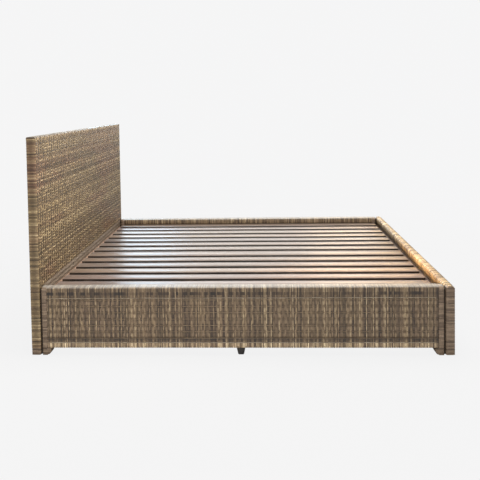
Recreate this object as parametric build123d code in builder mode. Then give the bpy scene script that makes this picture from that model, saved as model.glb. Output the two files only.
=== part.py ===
from build123d import *

import os

# Rattan bed for a 1600 by 2000 mattress: tall woven headboard, low woven footboard, two woven side
# rails and a deck of boards that runs from head to foot. Each of the four sides is a wooden frame
# with mortise and tenon joints, dressed in a skin of woven rattan. The headboard is at -X and the
# footboard at +X. Left and right are as seen from the foot, so the left rail is at -Y. Millimetres,
# +Z up. The origin is on the floor, under the middle of the whole bed.

# The mattress and the bay that holds it
mattress_width = 1600.0
mattress_length = 2000.0
side_clearance = 6.0
end_clearance = 22.0
bay_depth = 40.0

# The four sides, over their woven skins
rail_thickness = 54.0
headboard_thickness = 48.0
footboard_thickness = 46.0
headboard_height = 1120.0
rail_top = 350.0
floor_gap = 38.0

# The woven skin and its borders
weave_thickness = 5.0
wrap_thickness = 4.0
edge_radius = 5.0
rail_edge_radius = 8.0
footboard_edge_radius = 14.0
skin_fillet_limit = 3.0
top_border = 52.0
bottom_border = 45.0
side_border = 40.0
field_recess = 2.0
band_height = 54.0
band_thickness = 3.0
band_radius = 1.5

# The wooden frames inside
board_post_width = 90.0
rail_post_width = 36.0
headboard_top_height = 70.0
headboard_middle_height = 60.0
cross_rail_height = 110.0
bottom_rail_height = 60.0
side_bar_height = 44.0
stud_width = 60.0
headboard_stud_count = 3
footboard_stud_count = 3
rail_stud_count = 3
board_tenon_length = 50.0
rail_tenon_length = 20.0
tenon_thickness = 14.0
tenon_shoulder = 10.0
joint_gap = 0.2

# The feet
glide_thickness = 4.0
glide_inset = 3.0
bracket_setback = 2.0
foot_top_width = 43.0
foot_bottom_width = 30.0
foot_top_depth = 44.0
foot_bottom_depth = 31.0
foot_tenon_radius = 8.0
foot_tenon_length = 25.0

# The deck
slat_count = 14
slat_width = 76.0
slat_thickness = 16.0
slat_edge_radius = 2.0
slat_edge_gap = 3.0
wide_slat_extra = 22.0
bearer_count = 4
end_bearer_gap = 97.5
bearer_width = 45.0
bearer_height = 60.0
bearer_end_gap = 3.0
side_ledger_width = 30.0
end_ledger_width = 40.0
ledger_height = 40.0
side_ledger_end_gap = 12.0
end_ledger_end_gap = 4.0
leg_size = 40.0
leg_tenon_radius = 10.0
leg_tenon_length = 30.0

# Wood screws: radius of the shank, radius of the head, length over all
slat_screw_radius = 2.0
slat_screw_head = 4.0
slat_screw_length = 35.0
ledger_screw_radius = 2.5
ledger_screw_head = 5.0
ledger_screw_length = 60.0
end_ledger_screw_count = 5
end_ledger_screw_inset = 206.0
end_ledger_screw_drop = 26.0
bearer_screw_radius = 3.0
bearer_screw_head = 6.0
bearer_screw_length = 85.0
screw_point = 4.0
screw_point_radius = 0.4
screw_gap = 0.2

# Corner brackets and their coach screws
bracket_thickness = 4.0
bracket_height = 100.0
bracket_rail_arm = 36.0
bracket_board_arm = 50.0
bracket_low = 90.0
bracket_hole_inset = 25.0
bracket_board_hole = 30.0
corner_screw_radius = 4.0
corner_screw_length = 39.0
corner_screw_head_width = 13.0
corner_screw_head_height = 5.5

# Places that follow from the sizes above
bay_width = mattress_width + 2 * side_clearance
bay_length = mattress_length + 2 * end_clearance
bed_side = bay_width / 2 + rail_thickness
bed_length = headboard_thickness + bay_length + footboard_thickness
rail_inner = bay_width / 2
head_back = -bed_length / 2
head_face = head_back + headboard_thickness
foot_face = head_face + bay_length
foot_back = foot_face + footboard_thickness
bay_middle = (head_face + foot_face) / 2
wood_foot = glide_thickness
frame_low = floor_gap + weave_thickness
frame_top = rail_top - weave_thickness
frame_side = bed_side - weave_thickness
post_inner = frame_side - board_post_width
field_low = floor_gap + bottom_border
field_top = rail_top - top_border
field_side = bed_side - side_border
slat_top = rail_top - bay_depth
bearer_top = slat_top - slat_thickness
ledger_top = bearer_top - bearer_height
sides = (("left", -1), ("right", 1))
ends = (("head", head_face, 1), ("foot", foot_face, -1))
from_end = (Align.CENTER, Align.CENTER, Align.MIN)
down = (0, 0, -1)

os.makedirs("parts", exist_ok=True)


def write(piece, name):
    """Labels a finished piece and writes it as its own file."""
    piece.label = name
    export_step(piece, f"parts/{name}.step")


def block(low, high, mode=Mode.ADD):
    """Adds, or cuts, the box between two opposite corners."""
    with Locations(tuple((a + b) / 2 for a, b in zip(low, high))):
        Box(*[abs(b - a) for a, b in zip(low, high)], mode=mode)


def place(shape, points, direction, mode=Mode.ADD):
    """Adds, or cuts, a shape at each point, with its own Z axis along a direction."""
    with Locations(*[Plane(origin=point, z_dir=direction) for point in points]):
        add(shape, mode=mode)


def wood_screw(radius, head_radius, length):
    """Makes a countersunk screw along +Z, with its flat head in the XY plane."""
    with BuildPart() as shape:
        with BuildSketch(Plane.XZ):
            with BuildLine():
                Polyline(
                    (0, 0),
                    (head_radius, 0),
                    (radius, head_radius - radius),
                    (radius, length - screw_point),
                    (screw_point_radius, length),
                    (0, length),
                    close=True,
                )
            make_face()
        revolve(axis=Axis.Z)
    return shape.part


def coach_screw(radius, head_width, head_height, length):
    """Makes a screw along +Z, with a hexagonal head that stands below the XY plane."""
    with BuildPart() as shape:
        with BuildSketch():
            RegularPolygon(head_width / 2, 6, major_radius=False)
        extrude(amount=-head_height)
        Cylinder(radius, length - screw_point, align=from_end)
        with Locations((0, 0, length - screw_point)):
            Cone(radius, screw_point_radius, screw_point, align=from_end)
    return shape.part


def round_bore(radius, length):
    """Makes the plug of a round hole along +Z from the XY plane."""
    with BuildPart() as shape:
        Cylinder(radius, length, align=from_end)
    return shape.part


slat_screw = wood_screw(slat_screw_radius, slat_screw_head, slat_screw_length)
slat_screw_hole = wood_screw(
    slat_screw_radius + screw_gap, slat_screw_head + screw_gap, slat_screw_length + screw_gap
)
ledger_screw = wood_screw(ledger_screw_radius, ledger_screw_head, ledger_screw_length)
ledger_screw_hole = wood_screw(
    ledger_screw_radius + screw_gap, ledger_screw_head + screw_gap, ledger_screw_length + screw_gap
)
bearer_screw = wood_screw(bearer_screw_radius, bearer_screw_head, bearer_screw_length)
bearer_screw_hole = wood_screw(
    bearer_screw_radius + screw_gap, bearer_screw_head + screw_gap, bearer_screw_length + screw_gap
)
corner_screw = coach_screw(
    corner_screw_radius, corner_screw_head_width, corner_screw_head_height, corner_screw_length
)
corner_screw_hole = round_bore(corner_screw_radius + screw_gap, corner_screw_length + screw_gap)

# Slats are counted from the right rail to the left. The one past the middle is wider than the rest,
# and the last one, beside the left rail, is ripped narrower by as much.
slat_gap = (bay_width - 2 * slat_edge_gap - slat_count * slat_width) / (slat_count - 1)
slat_widths = [slat_width] * slat_count
slat_widths[slat_count // 2] += wide_slat_extra
slat_widths[-1] -= wide_slat_extra
slat_middles = []
slat_side = rail_inner - slat_edge_gap
for width in slat_widths:
    slat_middles.append(slat_side - width / 2)
    slat_side -= width + slat_gap


def evenly(count, spacing, middle=0.0):
    """Lists places a spacing apart, about a middle."""
    return [middle + (n - (count - 1) / 2) * spacing for n in range(count)]


bearer_inset = end_ledger_width + end_bearer_gap + bearer_width / 2
bearer_spacing = (bay_length - 2 * bearer_inset) / (bearer_count - 1)
bearer_middles = evenly(bearer_count, bearer_spacing, bay_middle)
rail_stud_middles = evenly(rail_stud_count, bay_length / (rail_stud_count + 1), bay_middle)
headboard_stud_middles = evenly(headboard_stud_count, 2 * post_inner / (headboard_stud_count + 1))
footboard_stud_middles = evenly(footboard_stud_count, 2 * post_inner / (footboard_stud_count + 1))
end_ledger_screw_spacing = (bay_width - 2 * end_ledger_screw_inset) / (end_ledger_screw_count - 1)
end_ledger_screw_middles = evenly(end_ledger_screw_count, end_ledger_screw_spacing)

# Screw places. Slats are screwed down on every bearer and on the ledgers at both ends.
slat_reach = (end_clearance + end_ledger_width) / 2
post_reach = (wrap_thickness + rail_post_width) / 2
end_screw_lines = [face + way * slat_reach for _, face, way in ends]
slat_screw_lines = bearer_middles + end_screw_lines
side_screw_lines = rail_stud_middles + [face + way * post_reach for _, face, way in ends]
side_screw_height = ledger_top - ledger_height / 2
end_screw_height = bearer_top - end_ledger_screw_drop
corner_screw_heights = (
    bracket_low + bracket_hole_inset,
    bracket_low + bracket_height - bracket_hole_inset,
)


def slat_screw_points(lines, middles):
    """Lists the heads of the slat screws where lines across the bed meet slats' middles."""
    return [(line, middle, slat_top) for line in lines for middle in middles]


def bearer_screw_points(middles):
    """Lists the heads of the screws that hold bearers down to the side ledgers."""
    reach = rail_inner - side_ledger_width / 2
    return [(middle, side * reach, bearer_top) for middle in middles for _, side in sides]


def side_screw_points(side):
    """Lists the heads of the screws that hold a side ledger to its rail."""
    return [(line, side * (rail_inner - side_ledger_width), side_screw_height) for line in side_screw_lines]


def end_screw_points(face, way):
    """Lists the heads of the screws that hold an end ledger to the headboard or the footboard."""
    return [(face + way * end_ledger_width, middle, end_screw_height) for middle in end_ledger_screw_middles]


def corner_rail_points(side, face, way):
    """Lists the coach screws that go through a corner bracket into a side rail's post."""
    reach = side * (rail_inner - bracket_thickness)
    return [(face + way * post_reach, reach, height) for height in corner_screw_heights]


def corner_board_points(face, way):
    """Lists the coach screws that go through the brackets into the headboard or the footboard."""
    reach = rail_inner - bracket_board_hole
    return [
        (face + way * bracket_thickness, side * reach, height)
        for _, side in sides
        for height in corner_screw_heights
    ]


def cut_board_screws(face, way):
    """Cuts the holes of every screw that goes into the headboard or the footboard."""
    place(corner_screw_hole, corner_board_points(face, way), (-way, 0, 0), Mode.SUBTRACT)
    place(ledger_screw_hole, end_screw_points(face, way), (-way, 0, 0), Mode.SUBTRACT)


def cut_side_screws(side):
    """Cuts the holes of every screw that goes into a side rail."""
    place(ledger_screw_hole, side_screw_points(side), (0, side, 0), Mode.SUBTRACT)
    for _, face, way in ends:
        place(corner_screw_hole, corner_rail_points(side, face, way), (0, side, 0), Mode.SUBTRACT)


def cross_member(middle, depth, low, high):
    """Adds a rail that runs across the bed between two board posts, with a tenon at each end."""
    block((middle - depth / 2, -post_inner, low), (middle + depth / 2, post_inner, high))
    reach = post_inner + board_tenon_length
    block(
        (middle - tenon_thickness / 2, -reach, low + tenon_shoulder),
        (middle + tenon_thickness / 2, reach, high - tenon_shoulder),
    )


def cut_mortises(middle, spans):
    """Cuts the mortises that the tenons of cross members go into."""
    reach = post_inner + board_tenon_length + joint_gap
    half = tenon_thickness / 2 + joint_gap
    for low, high in spans:
        block(
            (middle - half, -reach, low + tenon_shoulder - joint_gap),
            (middle + half, reach, high - tenon_shoulder + joint_gap),
            mode=Mode.SUBTRACT,
        )


# Headboard frame: two posts that reach the floor, four cross rails and three studs in each bay
# between them.
headboard_middle = head_face - headboard_thickness / 2
headboard_core = headboard_thickness - 2 * weave_thickness
headboard_frame_top = headboard_height - weave_thickness
cross_rail_low = frame_top - cross_rail_height
headboard_top_low = headboard_frame_top - headboard_top_height
headboard_middle_low = (frame_top + headboard_top_low - headboard_middle_height) / 2
headboard_rails = {
    "headboard_bottom_rail": (frame_low, frame_low + bottom_rail_height),
    "headboard_lower_rail": (cross_rail_low, frame_top),
    "headboard_middle_rail": (headboard_middle_low, headboard_middle_low + headboard_middle_height),
    "headboard_top_rail": (headboard_top_low, headboard_frame_top),
}
headboard_spans = list(headboard_rails.values())

for name, side in sides:
    with BuildPart() as headboard_post:
        block(
            (headboard_middle - headboard_core / 2, side * post_inner, wood_foot),
            (headboard_middle + headboard_core / 2, side * frame_side, headboard_frame_top),
        )
        cut_mortises(headboard_middle, headboard_spans)
        cut_board_screws(head_face, 1)
    write(headboard_post.part, f"headboard_{name}_post")

for name, (low, high) in headboard_rails.items():
    with BuildPart() as headboard_rail:
        cross_member(headboard_middle, headboard_core, low, high)
        cut_board_screws(head_face, 1)
    write(headboard_rail.part, name)

with BuildPart() as headboard_studs:
    for (_, low), (high, _) in zip(headboard_spans, headboard_spans[1:]):
        for middle in headboard_stud_middles:
            block(
                (headboard_middle - headboard_core / 2, middle - stud_width / 2, low),
                (headboard_middle + headboard_core / 2, middle + stud_width / 2, high),
            )
write(headboard_studs.part, "headboard_studs")


def board_skin(outer, inner, top, radius):
    """Adds the wrapped skin round a headboard or a footboard, open below where its posts come out."""
    corner_limit = skin_fillet_limit * weave_thickness
    low, high = sorted((outer, inner))
    block((low, -bed_side, floor_gap), (high, bed_side, top))
    upright_edges = edges().filter_by(Axis.Z)
    fillet(upright_edges, min(edge_radius, corner_limit))
    upper_edges = faces().sort_by(Axis.Z)[-1].edges()
    fillet(upper_edges, min(radius, corner_limit))
    block(
        (low + weave_thickness, -frame_side, frame_low),
        (high - weave_thickness, frame_side, top - weave_thickness),
        mode=Mode.SUBTRACT,
    )
    for _, side in sides:
        block(
            (low + weave_thickness, side * post_inner, floor_gap),
            (high - weave_thickness, side * frame_side, frame_low),
            mode=Mode.SUBTRACT,
        )


# Headboard skin, with a shallow woven field inside a border on each face.
with BuildPart() as headboard_weave:
    board_skin(head_back, head_face, headboard_height, edge_radius)
    block(
        (head_face - field_recess, -field_side, rail_top),
        (head_face, field_side, headboard_height - side_border),
        mode=Mode.SUBTRACT,
    )
    block(
        (head_back, -field_side, field_low),
        (head_back + field_recess, field_side, headboard_height - side_border),
        mode=Mode.SUBTRACT,
    )
    cut_board_screws(head_face, 1)
write(headboard_weave.part, "headboard_weave")

# Wrapped band across the headboard's face, level with the tops of the side rails.
with BuildPart() as headboard_band:
    block(
        (head_face, -rail_inner + edge_radius, rail_top - band_height),
        (head_face + band_thickness, rail_inner - edge_radius, rail_top),
    )
    fillet(faces().sort_by(Axis.X)[-1].edges(), band_radius)
write(headboard_band.part, "headboard_cross_band")

# Footboard frame: two posts, a deep top rail, a bottom rail and three studs.
footboard_middle = foot_face + footboard_thickness / 2
footboard_core = footboard_thickness - 2 * weave_thickness
footboard_rails = {
    "footboard_bottom_rail": (frame_low, frame_low + bottom_rail_height),
    "footboard_top_rail": (cross_rail_low, frame_top),
}

for name, side in sides:
    with BuildPart() as footboard_post:
        block(
            (footboard_middle - footboard_core / 2, side * post_inner, wood_foot),
            (footboard_middle + footboard_core / 2, side * frame_side, frame_top),
        )
        cut_mortises(footboard_middle, footboard_rails.values())
        cut_board_screws(foot_face, -1)
    write(footboard_post.part, f"footboard_{name}_post")

for name, (low, high) in footboard_rails.items():
    with BuildPart() as footboard_rail:
        cross_member(footboard_middle, footboard_core, low, high)
        cut_board_screws(foot_face, -1)
    write(footboard_rail.part, name)

with BuildPart() as footboard_studs:
    for middle in footboard_stud_middles:
        block(
            (footboard_middle - footboard_core / 2, middle - stud_width / 2, frame_low + bottom_rail_height),
            (footboard_middle + footboard_core / 2, middle + stud_width / 2, cross_rail_low),
        )
write(footboard_studs.part, "footboard_studs")

# Footboard skin, with a shallow woven field on its outer face only.
with BuildPart() as footboard_weave:
    board_skin(foot_back, foot_face, rail_top, footboard_edge_radius)
    block(
        (foot_back - field_recess, -field_side, field_low),
        (foot_back, field_side, field_top),
        mode=Mode.SUBTRACT,
    )
    cut_board_screws(foot_face, -1)
write(footboard_weave.part, "footboard_weave")

# The wrapped skins of the four feet below the headboard and the footboard.
boards = (
    (headboard_middle, headboard_thickness, headboard_core),
    (footboard_middle, footboard_thickness, footboard_core),
)

with BuildPart() as foot_wraps:
    for middle, thickness, _ in boards:
        for _, side in sides:
            block(
                (middle - thickness / 2, side * (post_inner - weave_thickness), wood_foot),
                (middle + thickness / 2, side * bed_side, floor_gap),
            )
    fillet(edges().filter_by(Axis.Z), min(edge_radius, skin_fillet_limit * weave_thickness))
    for middle, _, core in boards:
        for _, side in sides:
            block(
                (middle - core / 2, side * post_inner, wood_foot),
                (middle + core / 2, side * frame_side, floor_gap),
                mode=Mode.SUBTRACT,
            )
write(foot_wraps.part, "foot_wraps")

# Side rails. Each has an end post with a bracket foot at head and foot, a top and a bottom bar, three
# studs, a woven skin between the posts, a wrap round each post and a tapered foot in the middle.
rail_core = rail_thickness - 2 * weave_thickness
post_core = rail_thickness - 2 * wrap_thickness
rail_middle = rail_inner + rail_thickness / 2
weave_start = head_face + rail_post_width
weave_end = foot_face - rail_post_width
bars = {
    "bottom_bar": (frame_low, frame_low + side_bar_height),
    "top_bar": (frame_top - side_bar_height, frame_top),
}
bracket_radius = (floor_gap - wood_foot) / 2
toe_reach = rail_post_width - bracket_setback
heel_reach = toe_reach - bracket_radius
middle_foot_bore = round_bore(foot_tenon_radius + joint_gap, foot_tenon_length + joint_gap)

for name, side in sides:
    y_middle = side * rail_middle
    y_low = y_middle - rail_thickness / 2
    y_high = y_middle + rail_thickness / 2
    tenon_low = y_middle - tenon_thickness / 2
    tenon_high = y_middle + tenon_thickness / 2

    for end, face, way in ends:
        with BuildPart() as rail_post:
            block(
                (face + way * wrap_thickness, y_middle - post_core / 2, wood_foot),
                (face + way * rail_post_width, y_middle + post_core / 2, rail_top - wrap_thickness),
            )
            # The side view of the bracket foot is an S of two quarter rounds, from rail to floor.
            toe = face + way * toe_reach
            step = toe + way * bracket_radius
            tip = step + way * bracket_radius
            with BuildSketch(Plane.XZ.offset(-y_high)):
                with BuildLine():
                    Polyline(
                        (toe, wood_foot),
                        (face + way * heel_reach, wood_foot),
                        (face + way * heel_reach, floor_gap),
                        (tip, floor_gap),
                    )
                    TangentArc((tip, floor_gap), (step, floor_gap - bracket_radius), tangent=(-way, 0))
                    TangentArc((step, floor_gap - bracket_radius), (toe, wood_foot), tangent=(0, -1))
                make_face()
            extrude(amount=rail_thickness)
            mortise_end = rail_post_width - rail_tenon_length - joint_gap
            for low, high in bars.values():
                block(
                    (face + way * mortise_end, tenon_low - joint_gap, low + tenon_shoulder - joint_gap),
                    (face + way * rail_post_width, tenon_high + joint_gap, high - tenon_shoulder + joint_gap),
                    mode=Mode.SUBTRACT,
                )
            cut_side_screws(side)
        write(rail_post.part, f"{name}_rail_{end}_post")

    for bar, (low, high) in bars.items():
        with BuildPart() as rail_bar:
            block((weave_start, y_middle - rail_core / 2, low), (weave_end, y_middle + rail_core / 2, high))
            block(
                (weave_start - rail_tenon_length, tenon_low, low + tenon_shoulder),
                (weave_end + rail_tenon_length, tenon_high, high - tenon_shoulder),
            )
            place(middle_foot_bore, [(bay_middle, y_middle, floor_gap)], (0, 0, 1), Mode.SUBTRACT)
        write(rail_bar.part, f"{name}_rail_{bar}")

    with BuildPart() as rail_studs:
        for middle in rail_stud_middles:
            block(
                (middle - stud_width / 2, y_middle - rail_core / 2, frame_low + side_bar_height),
                (middle + stud_width / 2, y_middle + rail_core / 2, frame_top - side_bar_height),
            )
        cut_side_screws(side)
    write(rail_studs.part, f"{name}_rail_studs")

    with BuildPart() as rail_weave:
        block((weave_start, y_low, floor_gap), (weave_end, y_high, rail_top))
        long_edges = edges().filter_by(Axis.X).group_by(Axis.Z)
        corner_limit = skin_fillet_limit * weave_thickness
        fillet(long_edges[-1], min(rail_edge_radius, corner_limit))
        fillet(long_edges[0], min(edge_radius, corner_limit))
        block(
            (weave_start, side * (bed_side - field_recess), field_low),
            (weave_end, side * bed_side, field_top),
            mode=Mode.SUBTRACT,
        )
        block(
            (weave_start, y_middle - rail_core / 2, frame_low),
            (weave_end, y_middle + rail_core / 2, frame_top),
            mode=Mode.SUBTRACT,
        )
        cut_side_screws(side)
        place(middle_foot_bore, [(bay_middle, y_middle, floor_gap)], (0, 0, 1), Mode.SUBTRACT)
    write(rail_weave.part, f"{name}_rail_weave")

    with BuildPart() as post_wraps:
        for _, face, way in ends:
            block((face, y_low, wood_foot), (face + way * rail_post_width, y_high, rail_top))
        upright_edges = edges().filter_by(Axis.Z).group_by(Axis.X)
        fillet(upright_edges[0] + upright_edges[-1], min(edge_radius, skin_fillet_limit * wrap_thickness))
        upper_edges = edges().filter_by(Axis.X).group_by(Axis.Z)[-1]
        fillet(upper_edges, min(edge_radius, skin_fillet_limit * wrap_thickness))
        for _, face, way in ends:
            block(
                (face + way * wrap_thickness, y_middle - post_core / 2, wood_foot),
                (face + way * rail_post_width, y_middle + post_core / 2, rail_top - wrap_thickness),
                mode=Mode.SUBTRACT,
            )
            block(
                (face + way * heel_reach, y_low, wood_foot),
                (face + way * rail_post_width, y_high, floor_gap),
                mode=Mode.SUBTRACT,
            )
        cut_side_screws(side)
    write(post_wraps.part, f"{name}_rail_post_wraps")

    with BuildPart() as middle_foot:
        with BuildSketch(Plane.XY.offset(wood_foot)):
            with Locations((bay_middle, y_middle)):
                Rectangle(foot_bottom_width, foot_bottom_depth)
        with BuildSketch(Plane.XY.offset(floor_gap)):
            with Locations((bay_middle, y_middle)):
                Rectangle(foot_top_width, foot_top_depth)
        loft()
        with Locations((bay_middle, y_middle, floor_gap)):
            Cylinder(foot_tenon_radius, foot_tenon_length, align=from_end)
    write(middle_foot.part, f"{name}_rail_middle_foot")

# Ledgers: a batten screwed along each side rail carries the bearers, and one across the headboard
# and one across the footboard carry the ends of the slats.
with BuildPart() as side_ledgers:
    for _, side in sides:
        block(
            (
                head_face + side_ledger_end_gap,
                side * (rail_inner - side_ledger_width),
                ledger_top - ledger_height,
            ),
            (foot_face - side_ledger_end_gap, side * rail_inner, ledger_top),
        )
    for _, side in sides:
        place(ledger_screw_hole, side_screw_points(side), (0, side, 0), Mode.SUBTRACT)
    place(bearer_screw_hole, bearer_screw_points(bearer_middles), down, Mode.SUBTRACT)
write(side_ledgers.part, "side_ledgers")

with BuildPart() as end_ledgers:
    for _, face, way in ends:
        block(
            (face, -rail_inner + end_ledger_end_gap, bearer_top - ledger_height),
            (face + way * end_ledger_width, rail_inner - end_ledger_end_gap, bearer_top),
        )
    for _, face, way in ends:
        place(ledger_screw_hole, end_screw_points(face, way), (-way, 0, 0), Mode.SUBTRACT)
    place(slat_screw_hole, slat_screw_points(end_screw_lines, slat_middles), down, Mode.SUBTRACT)
write(end_ledgers.part, "end_ledgers")

# Bearers: cross bars under the slats, each held up in the middle by a leg.
leg_bore = round_bore(leg_tenon_radius + joint_gap, leg_tenon_length + joint_gap)

for number, line in enumerate(bearer_middles, 1):
    with BuildPart() as bearer:
        block(
            (line - bearer_width / 2, -rail_inner + bearer_end_gap, ledger_top),
            (line + bearer_width / 2, rail_inner - bearer_end_gap, bearer_top),
        )
        place(slat_screw_hole, slat_screw_points([line], slat_middles), down, Mode.SUBTRACT)
        place(bearer_screw_hole, bearer_screw_points([line]), down, Mode.SUBTRACT)
        place(leg_bore, [(line, 0, ledger_top)], (0, 0, 1), Mode.SUBTRACT)
    write(bearer.part, f"bearer_{number}")

with BuildPart() as centre_legs:
    for line in bearer_middles:
        with Locations((line, 0, wood_foot)):
            Box(leg_size, leg_size, ledger_top - wood_foot, align=from_end)
        with Locations((line, 0, ledger_top)):
            Cylinder(leg_tenon_radius, leg_tenon_length, align=from_end)
write(centre_legs.part, "centre_legs")

# Slats: boards from head to foot, screwed to every bearer and to both end ledgers.
for number, (middle, width) in enumerate(zip(slat_middles, slat_widths), 1):
    with BuildPart() as slat:
        block(
            (bay_middle - mattress_length / 2, middle - width / 2, bearer_top),
            (bay_middle + mattress_length / 2, middle + width / 2, slat_top),
        )
        upper_edges = edges().filter_by(Axis.X).group_by(Axis.Z)[-1]
        fillet(upper_edges, slat_edge_radius)
        place(slat_screw_hole, slat_screw_points(slat_screw_lines, [middle]), down, Mode.SUBTRACT)
    write(slat.part, f"slat_{number:02d}")

# Fasteners, each kind as one group of separate screws.
with BuildPart() as slat_screws:
    place(slat_screw, slat_screw_points(slat_screw_lines, slat_middles), down)
write(slat_screws.part, "slat_screws")

with BuildPart() as ledger_screws:
    for _, side in sides:
        place(ledger_screw, side_screw_points(side), (0, side, 0))
    for _, face, way in ends:
        place(ledger_screw, end_screw_points(face, way), (-way, 0, 0))
write(ledger_screws.part, "ledger_screws")

with BuildPart() as bearer_screws:
    place(bearer_screw, bearer_screw_points(bearer_middles), down)
write(bearer_screws.part, "bearer_screws")

# Corner brackets: a steel angle inside each corner, held by two coach screws into the side rail's
# post and by two into the headboard's or the footboard's.
with BuildPart() as corner_brackets:
    bracket_top = bracket_low + bracket_height
    for _, face, way in ends:
        for _, side in sides:
            block(
                (face, side * rail_inner, bracket_low),
                (face + way * bracket_rail_arm, side * (rail_inner - bracket_thickness), bracket_top),
            )
            block(
                (face, side * rail_inner, bracket_low),
                (face + way * bracket_thickness, side * (rail_inner - bracket_board_arm), bracket_top),
            )
    for _, face, way in ends:
        place(corner_screw_hole, corner_board_points(face, way), (-way, 0, 0), Mode.SUBTRACT)
        for _, side in sides:
            place(corner_screw_hole, corner_rail_points(side, face, way), (0, side, 0), Mode.SUBTRACT)
write(corner_brackets.part, "corner_brackets")

with BuildPart() as corner_screws:
    for _, face, way in ends:
        place(corner_screw, corner_board_points(face, way), (-way, 0, 0))
        for _, side in sides:
            place(corner_screw, corner_rail_points(side, face, way), (0, side, 0))
write(corner_screws.part, "corner_screws")

# Glides: a hard pad under every foot, so that the rattan stays off the floor.
with BuildPart() as floor_glides:
    for middle, _, core in boards:
        for _, side in sides:
            block(
                (middle - core / 2 + glide_inset, side * (post_inner + glide_inset), 0),
                (middle + core / 2 - glide_inset, side * (frame_side - glide_inset), glide_thickness),
            )
    for _, side in sides:
        half = post_core / 2 - glide_inset
        for _, face, way in ends:
            block(
                (face + way * (wrap_thickness + glide_inset), side * rail_middle - half, 0),
                (face + way * (toe_reach - glide_inset), side * rail_middle + half, glide_thickness),
            )
        with Locations((bay_middle, side * rail_middle, 0)):
            Box(
                foot_bottom_width - 2 * glide_inset,
                foot_bottom_depth - 2 * glide_inset,
                glide_thickness,
                align=from_end,
            )
    for line in bearer_middles:
        with Locations((line, 0, 0)):
            Box(leg_size - 2 * glide_inset, leg_size - 2 * glide_inset, glide_thickness, align=from_end)
write(floor_glides.part, "floor_glides")
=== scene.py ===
import math

import bmesh
import bpy
from mathutils import Matrix, Vector


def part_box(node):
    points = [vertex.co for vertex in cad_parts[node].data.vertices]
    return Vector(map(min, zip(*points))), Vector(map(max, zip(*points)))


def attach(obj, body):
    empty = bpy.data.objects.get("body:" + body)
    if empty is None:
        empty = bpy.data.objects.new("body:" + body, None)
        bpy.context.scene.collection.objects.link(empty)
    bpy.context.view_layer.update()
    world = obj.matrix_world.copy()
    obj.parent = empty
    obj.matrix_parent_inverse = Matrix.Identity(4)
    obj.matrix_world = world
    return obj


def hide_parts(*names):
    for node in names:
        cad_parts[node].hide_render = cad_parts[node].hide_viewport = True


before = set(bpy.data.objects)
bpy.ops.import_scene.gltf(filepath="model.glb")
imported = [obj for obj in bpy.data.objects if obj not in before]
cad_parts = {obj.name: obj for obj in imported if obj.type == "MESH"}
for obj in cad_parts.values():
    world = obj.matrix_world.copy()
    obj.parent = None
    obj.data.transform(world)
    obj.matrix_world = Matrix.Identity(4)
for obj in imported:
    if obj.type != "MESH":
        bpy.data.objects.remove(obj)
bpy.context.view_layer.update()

# Camera. It stands at the near side of the bed, a little above the headboard, and looks almost
# level. The lens is shifted down, so that the bed sits low in the picture, as photographed.
camera_data = bpy.data.cameras.new("camera")
camera_data.sensor_width = 36.0
camera_data.lens = 42.3945
camera_data.shift_y = -0.2406
camera = bpy.data.objects.new("camera", camera_data)
bpy.context.collection.objects.link(camera)
camera_heading = Matrix.Rotation(0.0347, 4, "Z")
camera_pitch = Matrix.Rotation(math.pi / 2 - 0.0393, 4, "X")
camera_roll = Matrix.Rotation(-0.0147, 4, "Z")
camera_place = Matrix.Translation((0.1097, -3.6620, 1.2774))
camera.matrix_world = camera_place @ camera_heading @ camera_pitch @ camera_roll
bpy.context.scene.camera = camera
bpy.context.scene.view_settings.view_transform = "Standard"


# Studio. A broad lamp overhead makes the tops bright, and one in front fills the near side. Three
# windows behind the bed lay a white, a cool and a warm sheen on the varnished slats. Two small
# lamps light the face of the headboard and the inside of the footboard.
def hang_lamp(name, place, target, width, height, power, colour):
    """Adds an oblong soft lamp that faces a target and isn't seen itself."""
    lamp_data = bpy.data.lights.new(name, "AREA")
    lamp_data.shape = "RECTANGLE"
    lamp_data.size = width
    lamp_data.size_y = height
    lamp_data.energy = power
    lamp_data.color = colour
    lamp = bpy.data.objects.new(name, lamp_data)
    bpy.context.collection.objects.link(lamp)
    lamp.location = place
    lamp.rotation_euler = (Vector(target) - Vector(place)).to_track_quat("-Z", "Y").to_euler()
    lamp.visible_camera = False
    return lamp


hang_lamp("lamp_overhead", (0.2, 0.1, 5.0), (0.0, 0.0, 0.3), 3.4, 3.4, 330.0, (1.0, 0.985, 0.96))
hang_lamp("lamp_front", (-0.4, -5.0, 2.0), (0.0, 0.0, 0.4), 2.5, 2.0, 61.0, (1.0, 0.98, 0.95))
hang_lamp("window_back", (-0.4, 4.2, 1.80), (0.0, 0.0, 0.3), 4.4, 1.6, 42.0, (1.0, 0.98, 0.95))
hang_lamp("window_left", (-1.7, 4.1, 1.95), (-0.6, -0.3, 0.3), 1.2, 0.9, 16.0, (0.36, 0.70, 1.0))
hang_lamp("window_right", (1.6, 4.1, 2.0), (0.7, -0.5, 0.3), 1.6, 0.5, 16.0, (1.0, 0.66, 0.30))
lamp_side = hang_lamp(
    "lamp_side", (0.45, -1.15, 1.55), (-1.0, -0.6, 0.45), 0.6, 0.6, 3.4, (1.0, 0.90, 0.78)
)
lamp_side.data.spread = math.radians(75)
lamp_warm = hang_lamp(
    "lamp_warm", (-0.3, -0.6, 0.72), (1.03, -0.42, 0.35), 0.4, 0.4, 3.6, (1.0, 0.66, 0.31)
)
lamp_warm.data.spread = math.radians(45)


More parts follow.
